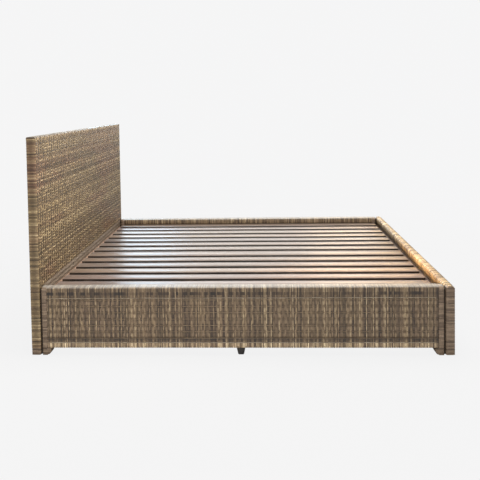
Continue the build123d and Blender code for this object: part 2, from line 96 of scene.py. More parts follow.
def add_node(tree, kind, inputs=None, **settings):
    """Adds a shader node, with numbers or other nodes' outputs on its inputs."""
    node = tree.nodes.new("ShaderNode" + kind)
    for name, value in settings.items():
        setattr(node, name, value)
    for name, value in (inputs or {}).items():
        if isinstance(value, bpy.types.NodeSocket):
            tree.links.new(value, node.inputs[name])
        else:
            node.inputs[name].default_value = value
    return node


backdrop_white = (0.915, 0.915, 0.918, 1.0)
world = bpy.data.worlds.new("studio")
bpy.context.scene.world = world
world.use_nodes = True
world.node_tree.nodes.clear()
seen_by_eye = add_node(world.node_tree, "LightPath").outputs["Is Camera Ray"]
room_light = add_node(
    world.node_tree, "Background", {"Color": (1.0, 0.965, 0.915, 1.0), "Strength": 0.55}
)
backdrop = add_node(world.node_tree, "Background", {"Color": backdrop_white, "Strength": 1.0})
world_mix = add_node(
    world.node_tree, "MixShader", {0: seen_by_eye, 1: room_light.outputs[0], 2: backdrop.outputs[0]}
)
add_node(world.node_tree, "OutputWorld", {"Surface": world_mix.outputs[0]})

# Floor. It is white and matt, glows a little where the camera sees it, and fades into the backdrop
# with distance, so that no horizon shows.
floor_size = 14.0
bpy.ops.mesh.primitive_grid_add(
    x_subdivisions=4, y_subdivisions=4, size=floor_size, location=(0, 0, -0.0005)
)
floor = bpy.context.object
floor.name = "floor"


def start_material(name):
    """Makes an empty material and gives it with its node tree."""
    material = bpy.data.materials.new(name)
    material.use_nodes = True
    material.node_tree.nodes.clear()
    return material, material.node_tree


def remap(tree, value, low, high, first=0.0, last=1.0):
    """Adds a Map Range node, which carries one span of values over to another."""
    spans = {"Value": value, "From Min": low, "From Max": high, "To Min": first, "To Max": last}
    return add_node(tree, "MapRange", spans).outputs["Result"]


floor_paint, tree = start_material("floor_paint")
floor_place = add_node(tree, "TexCoord").outputs["Object"]
floor_reach = add_node(tree, "VectorMath", {0: floor_place}, operation="LENGTH").outputs["Value"]
floor_fade = remap(tree, floor_reach, 1.9, 3.2)
floor_matt = add_node(tree, "BsdfDiffuse", {"Color": (0.45, 0.45, 0.455, 1.0)})
floor_pale = add_node(tree, "BsdfDiffuse", {"Color": (0.03, 0.03, 0.03, 1.0)})
floor_glow = add_node(tree, "Emission", {"Color": backdrop_white, "Strength": 0.94})
floor_eye = add_node(tree, "LightPath").outputs["Is Camera Ray"]
floor_lit = add_node(tree, "AddShader", {0: floor_pale.outputs[0], 1: floor_glow.outputs[0]})
floor_kept = add_node(
    tree, "MixShader", {0: floor_eye, 1: floor_matt.outputs[0], 2: floor_lit.outputs[0]}
)
floor_clear = add_node(tree, "BsdfTransparent")
floor_mix = add_node(
    tree, "MixShader", {0: floor_fade, 1: floor_kept.outputs[0], 2: floor_clear.outputs[0]}
)
add_node(tree, "OutputMaterial", {"Surface": floor_mix.outputs[0]})
floor.data.materials.append(floor_paint)


# Woven skin of the side rails. Flat strips of rattan peel run up the outer face over level stakes,
# fold over the round top edge, go down the inner face and close underneath. The strips of each
# pair take turns over and under the stakes.
def calculate(tree, operation, first, second=0.0, third=0.0):
    """Adds a Math node on numbers or other nodes' outputs, and gives its result."""
    node = add_node(tree, "Math", {0: first, 1: second, 2: third}, operation=operation)
    return node.outputs[0]


def stretch_place(tree, place, amounts, shift=(0.0, 0.0, 0.0)):
    """Stretches a place by an amount on each axis, then shifts it."""
    parts = {0: place, 1: amounts, 2: shift}
    return add_node(tree, "VectorMath", parts, operation="MULTIPLY_ADD").outputs[0]


def add_noise(tree, place, scale, detail, roughness=0.5):
    """Adds a cloudy noise that is fixed to a place."""
    settings = {"Vector": place, "Scale": scale, "Detail": detail, "Roughness": roughness}
    return add_node(tree, "TexNoise", settings)


def rattan(
    name, across, along, segment, tones, patches, wax,
    lanes=1, patch_scale=(23.0, 2.0), patch_share=0.2, hollow_shade=0.22, painted_shade=None, sheen_above=None,
):
    """Makes the finish of woven peel whose strands lie side by side along one axis and run along another.

    A ribbon of the mesh carries one strand or more, by lanes. Each strand has its own tone, which
    changes from one float to the next. Shade is painted at the strands' edges and where they dive
    into the weave. Above a height that is given, a painted sheen turns them pale and grey.
    """
    material, tree = start_material(name)
    place = add_node(tree, "TexCoord").outputs["Object"]
    split = add_node(tree, "SeparateXYZ", {0: place})
    lane = add_node(tree, "SeparateXYZ", {0: add_node(tree, "UVMap").outputs[0]})
    ribbon = calculate(tree, "FLOOR", lane.outputs["X"])
    strand_place = calculate(tree, "MULTIPLY", lane.outputs["X"], lanes)
    strand = calculate(tree, "FLOOR", strand_place)
    chance = add_node(tree, "TexWhiteNoise", {"W": strand}, noise_dimensions="1D")
    half_step = calculate(tree, "MULTIPLY", calculate(tree, "MODULO", ribbon, 2.0), 0.5)
    floats_passed = calculate(tree, "DIVIDE", split.outputs[along], segment)
    float_number = calculate(tree, "FLOOR", calculate(tree, "ADD", floats_passed, half_step))
    float_key = add_node(tree, "CombineXYZ", {0: strand, 1: float_number})
    float_chance = add_node(
        tree, "TexWhiteNoise", {"Vector": float_key.outputs[0]}, noise_dimensions="2D"
    )

    pick_tone = calculate(
        tree,
        "ADD",
        calculate(tree, "MULTIPLY", chance.outputs["Value"], 0.86),
        calculate(tree, "MULTIPLY", float_chance.outputs["Value"], 0.14),
    )
    tone = ramp_colour(tree, pick_tone, tones, 0.05, 0.95)
    patch_stretch = Vector((patch_scale[1],) * 3)
    patch_stretch["XYZ".index(across)] = patch_scale[0]
    patch_place = stretch_place(tree, place, patch_stretch)
    drift = add_noise(tree, patch_place, 1.0, 3.0, 0.7)
    patch = ramp_colour(tree, drift.outputs["Fac"], patches, 0.38, 0.62)
    colour = blend_colours(tree, "MIX", patch_share, tone, patch)

    # Painted sheen: above the given height the strands turn pale and grey, as light on the tops.
    if sheen_above:
        painted_sheen = remap(tree, split.outputs["Z"], sheen_above, sheen_above + 0.006, 0.0, 0.68)
        colour = blend_colours(tree, "MIX", painted_sheen, colour, (0.215, 0.208, 0.192, 1.0))

    stretch = Vector((60.0, 60.0, 60.0))
    stretch["XYZ".index(across)] = 300.0
    shifted = stretch_place(tree, chance.outputs["Color"], (40.0, 40.0, 40.0))
    grain_place = stretch_place(tree, place, stretch, shifted)
    mottle = add_noise(tree, grain_place, 1.0, 4.0, 0.65)
    fibre_place = stretch_place(tree, grain_place, (6.0, 6.0, 6.0))
    fibres = add_noise(tree, fibre_place, 1.0, 2.0)
    across_strand = calculate(tree, "SUBTRACT", calculate(tree, "FRACT", strand_place), 0.5)
    middle = calculate(tree, "ABSOLUTE", across_strand)
    depth = add_node(tree, "Attribute", attribute_name="depth").outputs["Fac"]

    # Each row holds a value, the span it is taken over, and the shade at the two ends of that span.
    shade = 1.0
    for value, low, high, from_low, from_high in (
        (mottle.outputs["Fac"], 0.3, 0.7, 0.66, 1.34),
        (fibres.outputs["Fac"], 0.3, 0.7, 0.85, 1.15),
        (float_chance.outputs["Value"], 0.0, 1.0, 0.78, 1.22),
        # The last two rows are painted shade, at the strands' edges and where they dive into the weave.
        (middle, 0.30, 0.5, 1.0, 0.30),
        (depth, 0.0006, 0.0030, 1.06, hollow_shade),
    ):
        part = remap(tree, value, low, high, from_low, from_high)
        shade = calculate(tree, "MULTIPLY", part, shade)
    # Painted shade that the board gives: dark bands, dives and crossings.
    if painted_shade:
        ribbon_chance = add_node(
            tree, "TexWhiteNoise", {"W": calculate(tree, "ADD", ribbon, 0.5)}, noise_dimensions="1D"
        )
        shade = calculate(tree, "MULTIPLY", shade, painted_shade(tree, split, ribbon_chance.outputs["Value"]))
    # The darker the shade, painted or the strands' own, the browner it turns.
    brown = [calculate(tree, "POWER", shade, strength) for strength in (1.0, 1.10, 1.20)]
    shading = add_node(tree, "CombineColor", dict(enumerate(brown)))
    colour = blend_colours(tree, "MULTIPLY", 1.0, colour, shading.outputs[0])

    gloss = remap(tree, mottle.outputs["Fac"], 0.3, 0.7, 0.60, 0.42)
    relief = calculate(tree, "MULTIPLY_ADD", fibres.outputs["Fac"], 0.5, mottle.outputs["Fac"])
    bump = add_node(tree, "Bump", {"Height": relief, "Strength": 0.5, "Distance": 0.0006})
    surface = {"Base Color": colour, "Roughness": gloss, "Normal": bump.outputs[0]}
    lay_surface(tree, {**surface, "Coat Weight": wax, "Coat Roughness": 0.34})
    return material


def lay_surface(tree, settings):
    """Gives a material its surface."""
    surface = add_node(tree, "BsdfPrincipled", settings)
    add_node(tree, "OutputMaterial", {"Surface": surface.outputs[0]})


def ramp_colour(tree, value, colours, low=0.0, high=1.0):
    """Turns a value into a colour, with the colours at even steps between two values."""
    node = add_node(tree, "ValToRGB", {0: value})
    steps = node.color_ramp.elements
    while len(steps) < len(colours):
        steps.new(0.5)
    for number, colour in enumerate(colours):
        steps[number].position = low + (high - low) * number / (len(colours) - 1)
        steps[number].color = (*colour, 1.0)
    return node.outputs[0]


def blend_colours(tree, mode, amount, first, second):
    """Adds a colour Mix node and gives its result."""
    parts = {"Factor": amount, 6: first, 7: second}
    return add_node(tree, "Mix", parts, data_type="RGBA", blend_type=mode).outputs[2]


def pick(vertices, chosen):
    """Selects only the chosen vertices of the mesh in edit mode."""
    for vertex in vertices:
        vertex.select_set(vertex.index in chosen)


def repeat(piece, step, count, joined=False):
    """Sets copies of a piece side by side at a fixed step, in its own mesh."""
    row = piece.modifiers.new("row", "ARRAY")
    row.use_relative_offset = False
    row.use_constant_offset = True
    row.constant_offset_displace = step
    row.count = count
    row.use_merge_vertices = joined
    bpy.ops.object.modifier_apply(modifier="row")


def lay_ribbons(name, route, turn, pitch, cover, pairs, low=0.0):
    """Lays a pair of ribbons along a route and repeats the pair side by side.

    A station of the route is a place, the way out of the surface there, and the depth of each of the
    two ribbons under that surface. turn stands the flat ribbons up so that they lie side by side
    along the object's X, Y or Z, from low on. A ribbon covers its share of the pitch.
    """
    bpy.ops.mesh.primitive_grid_add(x_subdivisions=2, y_subdivisions=len(route) - 1, size=1.0)
    ribbons = bpy.context.object
    ribbons.name = name
    ribbons.scale = (pitch * cover, 1.0, 1.0)
    bpy.ops.object.transform_apply(location=False, rotation=False, scale=True)
    repeat(ribbons, (pitch, 0.0, 0.0), 2)
    ribbons.rotation_euler = turn
    bpy.ops.object.transform_apply(location=False, rotation=True, scale=False)
    across = Matrix.Rotation(turn[2], 3, "Z") @ Matrix.Rotation(turn[1], 3, "Y") @ Vector((1.0, 0.0, 0.0))

    bpy.ops.object.mode_set(mode="EDIT")
    mesh = bmesh.from_edit_mesh(ribbons.data)
    how_deep = mesh.verts.layers.float.new("depth")
    mesh.verts.ensure_lookup_table()
    half = len(mesh.verts) // 2
    first = low + pitch / 2
    for row, (place, outward, depths) in enumerate(route):
        for ribbon, depth in enumerate(depths):
            left = row * 3 + ribbon * half
            now = mesh.verts[left + 1].co
            shift = across * (first + ribbon * pitch) - Vector(outward) * (depth + peel_crown)
            pick(mesh.verts, (left, left + 1, left + 2))
            bpy.ops.transform.translate(value=Vector(place) + shift - now)
            pick(mesh.verts, (left + 1,))
            bpy.ops.transform.translate(value=Vector(outward) * peel_crown)
            for vertex in mesh.verts[left : left + 3]:
                vertex[how_deep] = depth
    bpy.ops.mesh.select_all(action="SELECT")
    bpy.ops.mesh.remove_doubles(threshold=0.00002)
    bpy.ops.object.mode_set(mode="OBJECT")

    repeat(ribbons, across * (2.0 * pitch), pairs)
    faces_per_ribbon = 2 * (len(route) - 1)
    ribbon_map = ribbons.data.uv_layers.active.data
    for face in ribbons.data.polygons:
        for corner in face.loop_indices:
            ribbon_map[corner].uv.x += face.index // faces_per_ribbon
    bpy.ops.object.shade_smooth()
    return ribbons


def choose(piece):
    """Makes a piece the only one selected, and the active one."""
    bpy.ops.object.select_all(action="DESELECT")
    piece.select_set(True)
    bpy.context.view_layer.objects.active = piece


def stand(piece, corner, turn=0.0):
    """Turns a piece about the upright axis, moves it to its place, and keeps both in its mesh."""
    choose(piece)
    piece.rotation_euler = (0.0, 0.0, turn)
    piece.location = corner
    bpy.ops.object.transform_apply(location=True, rotation=True, scale=False)


def wander(piece, direction, amount, patch_size, level=0.5):
    """Pushes a piece's strands unevenly along an axis, as hand weaving does."""
    cloud = bpy.data.textures.new(f"{piece.name}_{direction}", "CLOUDS")
    cloud.noise_scale = patch_size
    cloud.noise_depth = 2
    push = piece.modifiers.new("wander", "DISPLACE")
    push.texture = cloud
    push.texture_coords = "LOCAL"
    push.direction = direction
    push.strength = amount
    push.mid_level = level
    choose(piece)
    bpy.ops.object.modifier_apply(modifier="wander")


def round_corner(middle, radius, start, steps, first_axis="Y", second_axis="Z"):
    """Lists the places and outward ways of a quarter round that turns clockwise from a start."""
    stations = []
    for step in range(steps + 1):
        angle = start - math.pi / 2 * step / steps
        outward = Vector((0.0, 0.0, 0.0))
        outward["XYZ".index(first_axis)] = math.cos(angle)
        outward["XYZ".index(second_axis)] = math.sin(angle)
        stations.append((Vector(middle) + outward * radius, outward))
    return stations


rail_low, rail_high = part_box("left_rail_weave")
skin_low, skin_top = rail_low[2], rail_high[2]
slat_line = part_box("slat_01")[1][2]
peel_crown = 0.0008
strip_cover = 0.99
skin_reach = 0.012
over_depth, under_depth = 0.0012, 0.0026
stake_spacing = 0.0325
stake_count = 7
first_stake = 0.2845
thread_heights = (0.2945, 0.0665)
dash_low, dash_top = 0.300, 0.3265


def board_route(thickness, radius, woven_inside):
    """Lists the stations of a strip round a low board whose outer face is at Y 0."""
    outside = Vector((0.0, -1.0, 0.0))
    inside = Vector((0.0, 1.0, 0.0))
    low_radius = 0.005
    snug = (0.0004, 0.0004)
    route = [((0.0, thickness / 2, skin_low), Vector((0.0, 0.0, -1.0)), snug)]
    for place, outward in round_corner(
        (0.0, low_radius, skin_low + low_radius), low_radius, -math.pi / 2, 3
    ):
        route.append((place, outward, snug))
    lowest_stake = first_stake - stake_spacing * (stake_count - 1)
    for height, depths in (
        (thread_heights[1] - 0.004, (0.0004, 0.0006)),
        (thread_heights[1], (0.0018, 0.0018)),
        (lowest_stake - 0.012, (0.0012, 0.0022)),
        (lowest_stake - 0.003, (0.0022, 0.0026)),
        (lowest_stake, (0.0034, 0.0036)),
        (lowest_stake + 0.004, (0.0018, 0.0014)),
    ):
        route.append(((0.0, 0.0, height), outside, depths))
    for number in range(1, stake_count):
        height = lowest_stake + stake_spacing * number
        over_under = (over_depth, under_depth) if number % 2 else (under_depth, over_depth)
        route.append(((0.0, 0.0, height - stake_spacing / 2), outside, (0.0002, 0.0002)))
        route.append(((0.0, 0.0, height), outside, over_under))
    for height, depths in (
        (first_stake + 0.005, (0.0009, 0.0009)),
        (thread_heights[0], (0.0018, 0.0018)),
        (dash_low, (0.0016, 0.0018)),
        (dash_low + 0.006, (0.0014, 0.0018)),
        (dash_top - 0.005, (0.0014, 0.0018)),
        (dash_top, (0.0003, 0.0010)),
    ):
        route.append(((0.0, 0.0, height), outside, depths))
    for place, outward in round_corner((0.0, radius, skin_top - radius), radius, math.pi, 4):
        route.append((place, outward, (0.0, 0.0)))
    for place, outward in round_corner(
        (0.0, thickness - radius, skin_top - radius), radius, math.pi / 2, 4
    ):
        route.append((place, outward, (0.0, 0.0)))
    for height, depth in ((slat_line + 0.006, 0.0004), (slat_line, 0.0034), (slat_line - 0.006, 0.0036)):
        route.append(((0.0, thickness, height), inside, (depth, depth)))
    for number, height in enumerate((0.290, 0.260, 0.230, 0.200, 0.170, 0.140, 0.110, 0.080)):
        depths = (0.0003, 0.0003)
        if woven_inside:
            depths = (over_depth, under_depth) if number % 2 else (under_depth, over_depth)
        route.append(((0.0, thickness, height), inside, depths))
    for place, outward in round_corner(
        (0.0, thickness - low_radius, skin_low + low_radius), low_radius, 0.0, 3
    ):
        route.append((place, outward, snug))
    route.append(route[0])
    return route


def lay_rods(name, places, length, radius, ends="NGON"):
    """Models round rods that lie along X from each of the places, with closed ends or open ones."""
    rods = []
    for place in places:
        middle = Vector(place) + Vector((length / 2, 0.0, 0.0))
        bpy.ops.mesh.primitive_cylinder_add(
            vertices=6, radius=radius, depth=length, location=middle, rotation=(0.0, math.pi / 2, 0.0),
            end_fill_type=ends,
        )
        rods.append(bpy.context.object)
    for rod in rods:
        rod.select_set(True)
    bpy.context.view_layer.objects.active = rods[0]
    bpy.ops.object.join()
    bundle = bpy.context.object
    bundle.name = name
    bpy.ops.object.transform_apply(location=True, rotation=True, scale=True)
    bpy.ops.object.shade_smooth()
    return bundle


def block(name, low, high):
    """Models a squared block between two corners."""
    bpy.ops.mesh.primitive_cube_add(size=1.0, location=(Vector(low) + Vector(high)) / 2)
    piece = bpy.context.object
    piece.name = name
    piece.scale = Vector(high) - Vector(low)
    bpy.ops.object.transform_apply(location=True, rotation=True, scale=True)
    return piece


def line_board(name, low, high, radius):
    """Models the inner layer of a skin, a rounded shell just under the strips, finished near-black as
    painted shade.
    """
    lining = block(name, low, high)
    rounding = lining.modifiers.new("rounding", "BEVEL")
    rounding.width = radius
    rounding.segments = 3
    bpy.ops.object.modifier_apply(modifier="rounding")
    return lining


def shadow_bands(tree, split, chance):
    """Paints shade on the outer face where strips dive, partly their own darker tone, and under the top
    edge; lightens the lower border and paints inner faces lighter.
    """
    height = split.outputs["Z"]
    rail_face = -rail_low[1] - skin_reach
    foot_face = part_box("footboard_weave")[1][0] - skin_reach
    outside = calculate(
        tree,
        "MAXIMUM",
        calculate(tree, "GREATER_THAN", calculate(tree, "ABSOLUTE", split.outputs["Y"]), rail_face),
        calculate(tree, "GREATER_THAN", split.outputs["X"], foot_face),
    )
    spot = add_node(tree, "CombineXYZ", {0: split.outputs["X"], 1: split.outputs["Y"]})
    cluster = add_noise(tree, spot.outputs[0], 11.0, 2.0)
    strength = remap(tree, cluster.outputs["Fac"], 0.38, 0.58, 0.25)
    dark = 0.0
    # Painted shade: dark dashes under the top border, partly the strips' own darker tone, a dark line
    # under the lowest stake, and a slight darkening just under the top edge.
    for low, high, share, weight in (
        (dash_low + 0.009, dash_top - 0.001, 0.34, 0.82),
        (0.0760, 0.0870, 0.5, 0.45),
        (dash_top + 0.001, skin_top - 0.006, 0.0, 0.18),
    ):
        band = calculate(tree, "COMPARE", height, (low + high) / 2, (high - low) / 2)
        chosen = calculate(tree, "GREATER_THAN", chance, share)
        both = calculate(tree, "MULTIPLY", calculate(tree, "MULTIPLY", band, chosen), weight)
        if share > 0:
            both = calculate(tree, "MULTIPLY", both, strength)
        dark = calculate(tree, "MAXIMUM", both, dark)
    dark = calculate(tree, "MULTIPLY", dark, outside)
    border = calculate(tree, "COMPARE", height, 0.05, 0.014)
    light = calculate(tree, "MULTIPLY_ADD", border, 0.95, 1.0)
    # The inner faces are painted lighter, as light falling on them.
    painted_inner_light = calculate(tree, "MULTIPLY_ADD", outside, -0.25, 0.25)
    return calculate(tree, "SUBTRACT", calculate(tree, "ADD", light, painted_inner_light), dark)


strip_tones = (
    (0.024, 0.012, 0.007),
    (0.089, 0.057, 0.030),
    (0.157, 0.106, 0.060),
    (0.216, 0.149, 0.086),
    (0.306, 0.216, 0.121),
    (0.430, 0.330, 0.200),
)
strip_patches = (
    (0.112, 0.069, 0.039),
    (0.218, 0.132, 0.085),
    (0.166, 0.110, 0.062),
    (0.275, 0.192, 0.095),
    (0.227, 0.156, 0.095),
)
rail_peel = rattan(
    "rail_peel", "X", "Z", stake_spacing, strip_tones, strip_patches, 0.5,
    lanes=2, painted_shade=shadow_bands, sheen_above=skin_top - 0.007,
)

# Near-black lining under the strips and inside the posts: painted shade in the gaps and joints.
lining_peel, tree = start_material("lining_peel")
lining_place = add_node(tree, "TexCoord").outputs["Object"]
lining_noise = add_noise(tree, lining_place, 160.0, 3.0)
shadow_lining_tones = ((0.012, 0.008, 0.005), (0.05, 0.032, 0.02))
lining_tone = ramp_colour(tree, lining_noise.outputs["Fac"], shadow_lining_tones, 0.3, 0.7)
lining_bump = add_node(tree, "Bump", {"Height": lining_noise.outputs["Fac"], "Distance": 0.001})
lay_surface(tree, {"Base Color": lining_tone, "Roughness": 0.85, "Normal": lining_bump.outputs[0]})


def nudge(piece, how_far):
    """Moves a piece's vertices by a rule that gives each its move, or None where it stays."""
    choose(piece)
    bpy.ops.object.mode_set(mode="EDIT")
    bpy.ops.mesh.select_mode(type="VERT")
    mesh = bmesh.from_edit_mesh(piece.data)
    groups = {}
    for vertex in mesh.verts:
        move = how_far(vertex.co)
        if move:
            groups.setdefault(tuple(round(part, 5) for part in move), set()).add(vertex.index)
    for move, chosen in groups.items():
        pick(mesh.verts, chosen)
        mesh.select_flush_mode()
        bpy.ops.transform.translate(value=move)
    bpy.ops.object.mode_set(mode="OBJECT")


def finish_piece(piece, material, slot, *replaced):
    """Gives a piece its material and its body, and hides the CAD pieces it takes over. slot is not used.
    """
    piece.data.materials.append(material)
    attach(piece, "root")
    if replaced:
        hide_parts(*replaced)


rail_thickness = rail_high[1] - rail_low[1]
rail_length = rail_high[0] - rail_low[0]
rail_pairs = 85
rail_pitch = rail_length / (2 * rail_pairs)
rail_route = board_route(rail_thickness, 0.008, woven_inside=False)
stake_peel = rattan("stake_peel", "Y", "X", stake_spacing, strip_tones[2:], strip_patches, 0.3)
stake_radius = 0.0010
stake_places = [(0.0, 0.0019, first_stake - stake_spacing * number) for number in range(stake_count)]
lining_depth = 0.0046

rail_sides = (
    ("left", (rail_low[0], rail_low[1], 0.0), 0.0),
    ("right", (rail_high[0], -rail_low[1], 0.0), math.pi),
)
for side, corner, turn in rail_sides:
    strips = lay_ribbons(
        f"{side}_rail_strips", rail_route, (0.0, 0.0, 0.0), rail_pitch, strip_cover, rail_pairs
    )
    stand(strips, corner, turn)
    wander(strips, "X", 0.0022, 0.045)
    finish_piece(strips, rail_peel, "rail_rattan", f"{side}_rail_weave")

    rods = lay_rods(f"{side}_rail_stakes", stake_places, rail_length, stake_radius)
    stand(rods, corner, turn)
    finish_piece(rods, stake_peel, "rail_rattan")

    lining = line_board(
        f"{side}_rail_lining",
        (0.0, lining_depth, skin_low + lining_depth),
        (rail_length, rail_thickness - lining_depth, skin_top - lining_depth),
        0.006,
    )
    stand(lining, corner, turn)
    finish_piece(lining, lining_peel, "rail_rattan")

# Threads. Two light cords of twisted peel run along each rail, near the top and the bottom of the
# woven field. They are laced over the strips and hold them down.
thread_step = 0.04
thread_radius = 0.0014
thread_places = [(0.0, 0.0016, height) for height in thread_heights]
thread_tones = ((0.15, 0.11, 0.07), (0.27, 0.22, 0.15), (0.40, 0.34, 0.26))
thread_peel = rattan("thread_peel", "Z", "X", 0.02, thread_tones, thread_tones[:2], 0.3)
for side, corner, turn in rail_sides:
    threads = lay_rods(f"{side}_rail_threads", thread_places, thread_step, thread_radius, "NOTHING")
    repeat(threads, (thread_step, 0.0, 0.0), int(rail_length / thread_step), joined=True)
    stand(threads, corner, turn)
    wander(threads, "Z", 0.004, 0.05)
    finish_piece(threads, thread_peel, "rail_rattan")

# Footboard. A low board woven like the rails, with the strips over its round top edge. Its two ends
# are wound with level peel instead.
foot_low, foot_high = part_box("footboard_weave")
foot_thickness = foot_high[0] - foot_low[0]
end_width = 0.036
foot_length = foot_high[1] - foot_low[1] - 2 * end_width
foot_pairs = 71
foot_pitch = foot_length / (2 * foot_pairs)
golden_tones = (
    (0.019, 0.009, 0.004),
    (0.121, 0.071, 0.035),
    (0.227, 0.149, 0.077),
    (0.315, 0.223, 0.113),
    (0.440, 0.327, 0.177),
    (0.598, 0.469, 0.279),
)
footboard_peel = rattan(
    "footboard_peel", "Y", "Z", stake_spacing, golden_tones, strip_patches, 0.5,
    lanes=2, painted_shade=shadow_bands,
)
foot_corner = (foot_high[0], foot_low[1] + end_width, 0.0)
foot_route = board_route(foot_thickness, 0.014, woven_inside=True)
foot_strips = lay_ribbons(
    "footboard_strips", foot_route, (0.0, 0.0, 0.0), foot_pitch, strip_cover, foot_pairs
)
stand(foot_strips, foot_corner, math.pi / 2)
wander(foot_strips, "Y", 0.0022, 0.045)
finish_piece(foot_strips, footboard_peel, "footboard_rattan", "footboard_weave")
foot_rods = lay_rods("footboard_stakes", stake_places, foot_length, stake_radius)
stand(foot_rods, foot_corner, math.pi / 2)
finish_piece(foot_rods, stake_peel, "footboard_rattan")
foot_lining = line_board(
    "footboard_lining",
    (0.0, lining_depth, skin_low + lining_depth),
    (foot_length, foot_thickness - lining_depth, skin_top - lining_depth),
    0.008,
)
stand(foot_lining, foot_corner, math.pi / 2)
finish_piece(foot_lining, lining_peel, "footboard_rattan")

# Headboard. Level strands of peel go round the whole board, and take turns over and under upright
# stakes. The board inside is a lining, finished near-black as painted shade between the strands.
head_low, head_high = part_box("headboard_weave")
head_pairs = 72
head_bottom, head_top = head_low[2], head_high[2] - 0.004
head_pitch = (head_top - head_bottom) / (2 * head_pairs)
head_radius = 0.004
head_stake_spacing = 0.030
head_dive = 0.0028
level_turn = (0.0, -math.pi / 2, 0.0)


def ring_corners(low, high, radius, steps):
    """Lists the stations of the four corners of a level ring, seen from above clockwise."""
    corners = []
    for x, y, start in (
        (high[0] - radius, low[1] + radius, 0.0),
        (low[0] + radius, low[1] + radius, -math.pi / 2),
        (low[0] + radius, high[1] - radius, math.pi),
        (high[0] - radius, high[1] - radius, math.pi / 2),
    ):
        corners.append(round_corner((x, y, 0.0), radius, start, steps, "X", "Y"))
    return corners


front_near, back_near, back_far, front_far = ring_corners(head_low, head_high, head_radius, 3)
head_stakes = int((head_high[1] - head_low[1] - 2 * head_radius) / head_stake_spacing)
head_edge = head_high[1] - head_radius - 0.012
head_step = 2 * head_edge / (head_stakes - 1)
face_way, back_way = Vector((1.0, 0.0, 0.0)), Vector((-1.0, 0.0, 0.0))
head_route = []
for number in range(2 * head_stakes - 1):
    across_place = head_edge - head_step * number / 2
    over_under = (0.0, head_dive) if number % 4 else (head_dive, 0.0)
    depths = (0.0008, 0.0008) if number % 2 else over_under
    head_route.append(((head_high[0], across_place, 0.0), face_way, depths))
for place, outward in front_near + back_near:
    head_route.append((place, outward, (0.0002, 0.0005)))
for number in range(head_stakes):
    depths = (0.0, head_dive) if number % 2 else (head_dive, 0.0)
    head_route.append(((head_low[0], -head_edge + head_step * number, 0.0), back_way, depths))
for place, outward in back_far + front_far:
    head_route.append((place, outward, (0.0002, 0.0005)))
head_route.append(head_route[0])

head_patches = (
    (0.250, 0.134, 0.086),
    (0.217, 0.144, 0.083),
    (0.217, 0.170, 0.091),
    (0.322, 0.244, 0.135),
)


def head_shade(tree, split, chance):
    """Darkens a band down the middle of the headboard's narrow ends, and paints shade at some crossings
    of strand and stake.
    """
    at_end = calculate(
        tree, "GREATER_THAN", calculate(tree, "ABSOLUTE", split.outputs["Y"]), head_high[1] - head_radius
    )
    head_middle = (head_low[0] + head_high[0]) / 2
    off_middle = calculate(tree, "ABSOLUTE", calculate(tree, "SUBTRACT", split.outputs["X"], head_middle))
    band = remap(tree, off_middle, 0.006, 0.018, 0.36, 0.08)
    end_darkening = calculate(tree, "SUBTRACT", 1.0, calculate(tree, "MULTIPLY", at_end, band))

    # Painted shade at some crossings, where a strand dives under a stake.
    stakes_passed = calculate(
        tree, "DIVIDE", calculate(tree, "ADD", split.outputs["Y"], head_edge), head_step
    )
    nearest = calculate(tree, "ROUND", stakes_passed)
    off_stake = calculate(tree, "ABSOLUTE", calculate(tree, "SUBTRACT", stakes_passed, nearest))
    cell = add_node(tree, "CombineXYZ", {0: calculate(tree, "MULTIPLY", chance, 999.0), 1: nearest})
    cell_chance = add_node(tree, "TexWhiteNoise", {"Vector": cell.outputs[0]}, noise_dimensions="2D")
    hole = remap(tree, off_stake, 0.16, 0.28, 0.88, -0.14)
    chosen = calculate(tree, "GREATER_THAN", cell_chance.outputs["Value"], 0.40)
    holes = calculate(tree, "SUBTRACT", 1.0, calculate(tree, "MULTIPLY", hole, chosen))
    return calculate(tree, "MULTIPLY", end_darkening, holes)


headboard_peel = rattan(
    "headboard_peel", "Z", "Y", head_stake_spacing, golden_tones, head_patches, 0.15,
    patch_scale=(5.0, 1.6), patch_share=0.42, hollow_shade=0.02, painted_shade=head_shade,
)
head_strands = lay_ribbons(
    "headboard_strands", head_route, level_turn, head_pitch, strip_cover, head_pairs, head_bottom
)
wander(head_strands, "Z", 0.0026, 0.06)
finish_piece(head_strands, headboard_peel, "headboard_rattan", "headboard_weave")

head_lining = line_board(
    "headboard_lining",
    Vector(head_low) + Vector((0.0042, 0.0042, 0.0042)),
    Vector(head_high) - Vector((0.0042, 0.0042, 0.0035)),
    0.006,
)
finish_piece(head_lining, lining_peel, "headboard_rattan")

# Stakes of the headboard. Round canes stand upright inside both faces, at an even spacing. The
# strands are drawn over and under them.
cane_depth = 0.0017
bpy.ops.mesh.primitive_cylinder_add(
    vertices=6,
    radius=stake_radius,
    depth=head_top - head_bottom,
    location=(head_high[0] - cane_depth, -head_edge, (head_top + head_bottom) / 2),
)
canes = bpy.context.object
canes.name = "headboard_stakes"
bpy.ops.object.transform_apply(location=True, rotation=True, scale=True)
repeat(canes, (0.0, head_step, 0.0), head_stakes)
repeat(canes, (head_low[0] - head_high[0] + 2 * cane_depth, 0.0, 0.0), 2)
bpy.ops.object.shade_smooth()
finish_piece(canes, stake_peel, "headboard_rattan")

